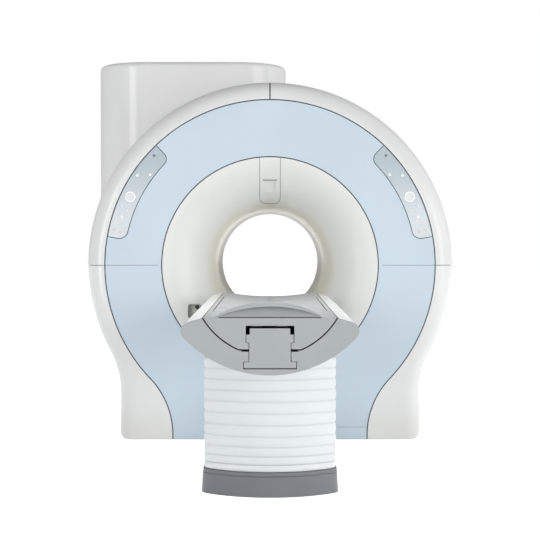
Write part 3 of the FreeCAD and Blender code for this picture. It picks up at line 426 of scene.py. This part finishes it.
grey_plastic = moulded("table_grey_plastic", (172, 177, 177), marks=seam_film_and_shade)
board_plastic = moulded("board_grey_plastic", (171, 176, 176), rough=0.38, marks=seam_film_and_shade)
# The bore liner's cream is darkened to a grey-olive: painted shade for the dim inside of the
# bore.
liner_plastic = moulded("bore_liner_plastic", (190, 187, 172), rough=0.38, grain=500.0)
rail_plastic = moulded("rail_plastic", (205, 203, 196), rough=0.37)
button_plastic = moulded("button_plastic", (228, 231, 232), rough=0.37, grain=900.0)
socket_plastic = moulded("socket_plastic", (178, 181, 172), rough=0.5, marks=painted_socket_hole)
resin = moulded("cast_resin", (150, 124, 86), rough=0.38, grain=160.0, depth=0.0003)
plinth_paint = moulded("plinth_grey_paint", (115, 118, 123), rough=0.5, grain=420.0,
                       depth=0.00016, drift=0.92)
steel = brushed("machined_steel", (150, 153, 158), 0.34)
ground_steel = brushed("ground_steel", (196, 198, 202), 0.29)
aluminium = brushed("drawn_aluminium", (190, 192, 194), 0.3, axis=(1.0, 0.05, 1.0))
copper = brushed("copper_winding", (196, 124, 84), 0.32, axis=(1.0, 40.0, 1.0))
motor_paint = moulded("motor_grey_paint", (66, 70, 74), rough=0.45, grain=300.0)

cover(["table_end_cap", "shuttle", "bellows_collar"], grey_plastic)
cover(["board", "board_handle"], board_plastic)
cover(["bore_liner"], liner_plastic)
cover(["bore_rails", "shuttle_glides"], rail_plastic)
cover(["connector_pocket"], socket_plastic)
cover(["radio_coil_former", "gradient_coil"], resin)
cover(["plinth", "floor_duct"], plinth_paint)
cover(["base_frame", "cover_frames", "suspension_rods", "table_base_plate", "cold_head",
       "service_turret", "vacuum_vessel"], steel)
cover(["lift_cylinder", "lift_sleeve", "lift_rod", "helium_vessel"], ground_steel)
cover(["column_outer", "column_middle", "column_inner", "slotted_beam", "thermal_shield",
       "coil_former"], aluminium)
cover(["magnet_coils", "radio_coil_rungs"], copper)
cover(["board_drive"], motor_paint)

# %% [markdown]
# ## The control panels, their keys and lamps
# Each control panel is a smooth film over a moulded strip. It is darker and greyer at its top
# and fades to near white at its foot, and small symbols light up through it. The keys are
# moulded caps, and the lamps are clear windows with a lit spot behind them.


# %% The film, the keys and the lamps
home_angle, home_radius = np.radians(26.1), panel_r - 0.052
home_spot = (float(home_radius * np.cos(home_angle)),
             float(bore_height + home_radius * np.sin(home_angle)))


def panel_film():
    """A glossy film whose grey fades from top to foot."""
    finish = Finish("control_film", Coat_Weight=0.4, Coat_Roughness=0.08,
                    Emission_Strength=0.04)
    x, y, z = finish.axes()
    fade = z.over(1.18, 1.56)
    tint = finish.blend(fade, linear((204, 211, 216)), linear((164, 178, 187)))
    specks = finish.noise(160.0, 2.0).over(0.62, 0.72)
    tint = finish.blend(specks * 0.3, tint, linear((232, 236, 238)))
    away = length(x.maths("ABSOLUTE") - home_spot[0], z - home_spot[1])
    ring = away.over(0.0205, 0.0230) * (1.0 - away.over(0.0270, 0.0295))
    finish.feed("Base Color", finish.blend(ring, tint, linear((246, 248, 249))))
    finish.feed("Emission Color", finish.blend(ring, (0, 0, 0, 1), (1, 1, 1, 1)))
    return finish.feed("Roughness", finish.noise(12.0, 3.0) * 0.05 + 0.2)


def lamp_lens():
    """A small clear window, lit a little from behind, warm low on the panel and cool above."""
    finish = Finish("lamp_lens", Coat_Weight=0.6, Coat_Roughness=0.05, Roughness=0.15,
                    Emission_Strength=0.10)
    height = finish.axes()[2]
    warm = 1.0 - height.over(1.10, 1.30)
    colour = finish.blend(warm, linear((236, 240, 243)), linear((196, 172, 152)))
    colour = finish.blend(height.over(1.50, 1.51), colour, linear((62, 66, 70)))
    finish.feed("Base Color", finish.blend(finish.noise(300.0).over(0.4, 0.7) * 0.4, colour,
                                           linear((180, 186, 190))))
    return finish.feed("Emission Color", colour)


film, lens = panel_film(), lamp_lens()
cover(["control_panel_left", "control_panel_right"], film)
cover([f"{name}_button_{side}" for name in ("home", "up", "down")
       for side in ("left", "right")], button_plastic)
cover(["panel_lamps"], lens)
light_glass = Finish("light_window_glass", Roughness=0.08, Coat_Weight=0.5)
light_glass.feed("Base Color", light_glass.blend(light_glass.noise(200.0), linear((92, 96, 98)),
                                                 linear((132, 136, 136))))
cover(["light_window"], light_glass)

# %% [markdown]
# ## The bellows
# Coated cloth pleats hide the lifting column. On the real one each pleat is a soft fold: it
# bulges, then tucks in to a sewn crease. Seen from above, the bellows is an oblong with round
# ends, so the sheet is a closed plan curve carried up a wavy profile: at every height the curve
# moves in by the depth of the fold. Raising a sine to a small power keeps the creases narrow.


# %% A surface from a grid of points
def add_piece(name, grid, finish, body, closed_u=True, closed_v=False):
    """A mesh from an array of points, rows by columns, whose edges may meet."""
    rows, columns = grid.shape[:2]
    i, j = np.meshgrid(np.arange(rows - (not closed_v)), np.arange(columns - (not closed_u)),
                       indexing="ij")
    i, j = i.ravel(), j.ravel()
    up, along = (i + 1) % rows, (j + 1) % columns
    faces = np.column_stack([i * columns + j, i * columns + along, up * columns + along,
                             up * columns + j])
    mesh = bpy.data.meshes.new(name)
    mesh.from_pydata(grid.reshape(-1, 3), [], faces)
    mesh.shade_smooth()
    mesh.materials.append(finish.material)
    piece = bpy.data.objects.new(name, mesh)
    scene.collection.objects.link(piece)
    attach(piece, body)
    print(name, len(faces), "faces")
    return piece


# %% The plan of the bellows
lift_y = -1.890
nose_r, corner_r = 0.411, 0.070
bellows_low, bellows_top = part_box("bellows")
foot_z, cloth_height = float(bellows_low[2]), float(bellows_top[2] - bellows_low[2])
half_width = bellows_top[0]
nose_reach = (bellows_top[1] - bellows_low[1]) / 2


def circle_points(x, y, radius, start, stop, count):
    """Points on an arc and their outward directions, by angles from straight ahead."""
    angle = np.linspace(start, stop, count, endpoint=False)
    outward = np.column_stack([np.sin(angle), np.cos(angle)])
    return np.array([x, y]) + radius * outward, outward


def bellows_plan():
    """A closed oblong of arcs: wide round ends, small corners and straight sides.

    One quarter is made of a wide arc, a small arc that touches it, and a straight run along the
    side. The other quarters are its mirror images.
    """
    centre_y = nose_reach - nose_r
    corner_x = half_width - corner_r
    rise = np.sqrt((nose_r - corner_r) ** 2 - corner_x ** 2)
    meet = np.arctan2(corner_x, rise)
    nose = circle_points(0.0, centre_y, nose_r, 0.0, meet, 34)
    corner = circle_points(corner_x, centre_y + rise, corner_r, meet, np.pi / 2, 10)
    run = np.linspace(centre_y + rise, 0.0, 16, endpoint=False)
    side = (np.column_stack([np.full(16, half_width), run]),
            np.tile([1.0, 0.0], (16, 1)))
    point, outward = (np.vstack(part) for part in zip(nose, corner, side))
    last, ahead = np.array([[half_width, 0.0]]), np.array([[1.0, 0.0]])
    right = [np.vstack([p, e, p[::-1] * (1, -1)]) for p, e in ((point, last), (outward, ahead))]
    return [np.vstack([p, p[-2:0:-1] * (-1, 1)]) for p in right]


# %% The pleated cloth
pleat_count, pleat_depth, cloth_wall = 11, 0.0055, 0.003
fold_rows, settling, sag, lift_travel = 12, 0.5, 0.0020, 0.300


def pleats_below(share):
    """How many pleats lie below a share of the height: the lowest have settled closer."""
    return (share + settling * share * (1.0 - share) ** 3) * pleat_count


def pleated_cloth():
    """The plan curve at each height, moved in by depth * (1 - |sin(pi * pleats)| ** 0.45).

    The creases are a third deeper at the foot, where the pleats have settled. Slow waves round
    the plan change the fullness of each pleat by a tenth and let its creases sag by 2 mm, as
    hand-sewn cloth does. A plain inner wall closes the body.
    """
    plan, outward = bellows_plan()
    pleats = np.linspace(0.0, pleat_count, pleat_count * fold_rows + 1)[:, None]
    fine = np.linspace(0.0, 1.0, 2001)
    share = np.interp(pleats, pleats_below(fine), fine)
    around = np.linspace(0.0, 2 * np.pi, len(plan), endpoint=False)[None, :]
    full = np.abs(np.sin(np.pi * pleats)) ** 0.45
    pleat = np.floor(pleats * 0.9999)
    wave = 1.0 - 0.05 * (1 + np.sin(3 * around + 1.7 * pleat)) - 0.03 * np.cos(
        7 * around - 2.3 * pleat)
    foot = np.clip(1.0 - share / 0.2, 0.0, 1.0)
    inset = pleat_depth * (1.0 + 0.35 * foot) * (1.0 - full * wave)
    height = foot_z + cloth_height * share
    height = height + sag * np.sin(np.pi * share) * np.sin(2 * around + 1.1 * pleats)
    inner = np.full((2, len(plan)), pleat_depth + cloth_wall)
    inset = np.vstack([inset, inner])
    height = np.vstack([np.broadcast_to(height, (len(share), len(plan))),
                        np.full((1, len(plan)), foot_z + cloth_height),
                        np.full((1, len(plan)), foot_z)])
    flat = plan[None] - outward[None] * inset[..., None]
    return np.dstack([flat[..., 0], flat[..., 1] + lift_y, height])


def coated_cloth():
    """White coated cloth: a fine weave under a soft coating, with painted shade greying the
    creases, most at the foot.
    """
    finish = Finish("bellows_cloth", Coat_Weight=0.15, Coat_Roughness=0.3)
    x, y, z = finish.axes()
    share = (z - foot_z) * (1.0 / cloth_height)
    crease = 1.0 - (pleats_below(share) * np.pi).maths("SINE").maths("ABSOLUTE").over(0.0, 0.45)
    foot = 1.0 - share.over(0.0, 0.2)
    # Random drift of tone plus painted shade in the creases, stronger at the foot.
    tone_and_crease_shade = finish.noise(5.0, 4.0, 0.6) * 0.2 + crease * (foot * 0.5 + 0.25)
    finish.feed("Base Color", finish.blend(tone_and_crease_shade, linear((226, 230, 232)),
                                           linear((176, 182, 186))))
    finish.feed("Roughness", finish.noise(14.0, 3.0) * 0.15 + 0.42)
    weave = finish.noise(900.0, 2.0)
    return finish.feed("Normal", finish.bump(weave, 0.0001, 0.6))


cloth = coated_cloth()
bellows = add_piece("bellows_cloth", pleated_cloth()[:, ::-1], cloth, "gantry",
                    closed_v=True)
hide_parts("bellows")
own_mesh(bellows)

# %% [markdown]
# ## The seals in the seams
# Dark rubber seals close the seams between the covers, and their dark colour is also painted
# shade for the seam gaps; they draw the strongest lines on the front: round the blue panel,
# round the bell-mouth and round each control panel. A seal is a low rounded strip. Its middle
# line is a curve in the plane of the front; each point across the strip is moved sideways along
# the curve's normal, and its depth is read from the surface below.


# %% Lines along the seams
seam, cover_round, floor_gap = 0.003, 0.100, 0.004
panel_leg_half, panel_waist_r = 0.533, panel_r / 2
flare_rise, flare_depth = mouth_r - bore_r, 0.400
flare_lip_r = 0.82 * flare_rise


def polar(angle, radius):
    """Points round the bore axis, by angles in degrees from level on the right."""
    turn = np.radians(np.atleast_1d(angle))
    return np.column_stack([radius * np.cos(turn), bore_height + radius * np.sin(turn)])


def panel_edge(offset):
    """The blue panel's edge: a leg, a hollow waist arc, and the round top, then its mirror."""
    radius, waist, half = panel_r + offset, panel_waist_r - offset, panel_leg_half + offset
    drop = np.sqrt((radius + waist) ** 2 - (half + waist) ** 2)
    end = np.arcsin(drop / (radius + waist))
    turn = np.linspace(0, end, 60)[:, None]
    hollow = np.hstack([half + waist - waist * np.cos(turn),
                        bore_height - drop + waist * np.sin(turn)])
    top = polar(np.linspace(-np.degrees(end), 90, 120), radius)
    right = np.vstack([[half, floor_gap], hollow, top[1:]])
    return np.vstack([right, right[-2::-1] * (-1, 1)])


def flat_face(x, z):
    """The flat front of the covers."""
    return np.full_like(x, face_y)


def flare_face(x, z):
    """The bell-mouth: two arcs that turn from the bore to the front, by radius."""
    up = np.clip(np.hypot(x, z - bore_height) - bore_r, 0.0, flare_rise)
    rest = flare_depth - flare_lip_r
    throat = (rest ** 2 + flare_rise ** 2 - flare_lip_r ** 2) / (2 * (flare_rise - flare_lip_r))
    meet = throat - (throat - flare_rise) * throat / (throat - flare_lip_r)
    inner = np.sqrt(np.clip(throat ** 2 - (throat - up) ** 2, 0, None))
    outer = rest + np.sqrt(np.clip(flare_lip_r ** 2 - (flare_rise - up) ** 2, 0, None))
    return face_y + flare_depth - np.where(up < meet, inner, outer)


def shell_face(x, z):
    """The white shell: flat, then a quarter round at its outer edge."""
    over = np.clip(np.hypot(x, z - bore_height) - (cover_r - cover_round), 0, cover_round)
    return face_y + cover_round - np.sqrt(cover_round ** 2 - over ** 2)


# %% A seal along a line
def seal(name, line, half_width, proud, face, finish, closed=False):
    """A low rounded strip: offsets s across the line, standing proud * sqrt(1 - s * s).

    Its two outermost rows go four times as far into the seam as the strip stands out of it.
    """
    before = np.roll(line, 1, 0) if closed else np.vstack([2 * line[0] - line[1], line[:-1]])
    after = np.roll(line, -1, 0) if closed else np.vstack([line[1:], 2 * line[-1] - line[-2]])
    run = after - before
    run /= np.linalg.norm(run, axis=1)[:, None]
    across = np.column_stack([-run[:, 1], run[:, 0]])
    share = np.array([-1.0, -1.0, -0.7, 0.0, 0.7, 1.0, 1.0])
    height = proud * np.array([-4.0, 0.0, 0.7, 1.0, 0.7, 0.0, -4.0])
    flat = line[None] + across[None] * (share * half_width)[:, None, None]
    y = face(flat[..., 0], flat[..., 1]) - height[:, None]
    grid = np.dstack([flat[..., 0], y, flat[..., 1]])
    return add_piece(name, grid, finish, "gantry", closed_u=closed, closed_v=True)


# The seals' dark navy rubber is also painted shade for the seam gaps; the paler grey one draws
# the seam round the light cover.
rubber = moulded("seal_rubber", (40, 48, 60), rough=0.55, grain=1500.0, depth=0.00003)
light_rubber = moulded("pale_seal_rubber", (128, 134, 138), rough=0.55, grain=1500.0,
                       depth=0.00003)
seal("panel_seal", panel_edge(seam / 2), 0.0031, 0.0006, flat_face, rubber)
seal("mouth_seal", polar(np.arange(0, 360, 1.5), mouth_r + seam / 2), 0.0031, 0.0006, flat_face,
     rubber, closed=True)
crown = np.linspace(bore_height + panel_r + 0.004, bore_height + cover_r, 24)
seal("crown_seal", np.column_stack([np.zeros(24), crown]), 0.0034, 0.0005, shell_face, rubber)


# %% Seals round the control panels and the light cover
control_low, control_high, control_width = 10.0, 46.5, 0.104


def control_corner(end, corner, way):
    """The arc that touches a control panel's end and its long inner edge.

    Its middle lies one corner radius outside the inner edge, and as far in from the end.
    """
    centre_r = panel_r - control_width + corner
    middle = end + way * np.degrees(np.arcsin(corner / centre_r))
    turn = np.radians(np.linspace(end - way * 90, middle - way * 180, 14))[:, None]
    return polar(middle, centre_r) + corner * np.hstack([np.cos(turn), np.sin(turn)]), middle


def control_edge(sign):
    """The free edge of a control panel: in along its foot, up the long arc, and out again."""
    foot, low = control_corner(control_low, 0.048, 1)
    head, high = control_corner(control_high, 0.042, -1)
    long_arc = polar(np.linspace(low, high, 30)[1:-1], panel_r - control_width)
    ends = [polar(angle, panel_r - 0.003) for angle in (control_low, control_high)]
    return np.vstack([ends[0], foot, long_arc, head[::-1], ends[1]]) * (sign, 1)


for side, sign in (("left", -1), ("right", 1)):
    seal(f"control_seal_{side}", control_edge(sign), 0.0022, 0.0004, flat_face, rubber)

light_half, light_low, light_corner = 0.057, bore_height + 0.343, 0.030
top = bore_height + np.sqrt((mouth_r - 0.002) ** 2 - light_half ** 2)
down = np.linspace(top, light_low + light_corner, 24)
turn = np.radians(np.linspace(0, 90, 10))
bend = np.column_stack([light_half - light_corner + light_corner * np.cos(turn),
                        light_low + light_corner - light_corner * np.sin(turn)])
half_line = np.vstack([np.column_stack([np.full(24, light_half), down]), bend[1:]])
light_line = np.vstack([half_line, half_line[::-1] * (-1, 1)])
seal("light_cover_seal", light_line, 0.0017, 0.0003, flare_face, light_rubber)
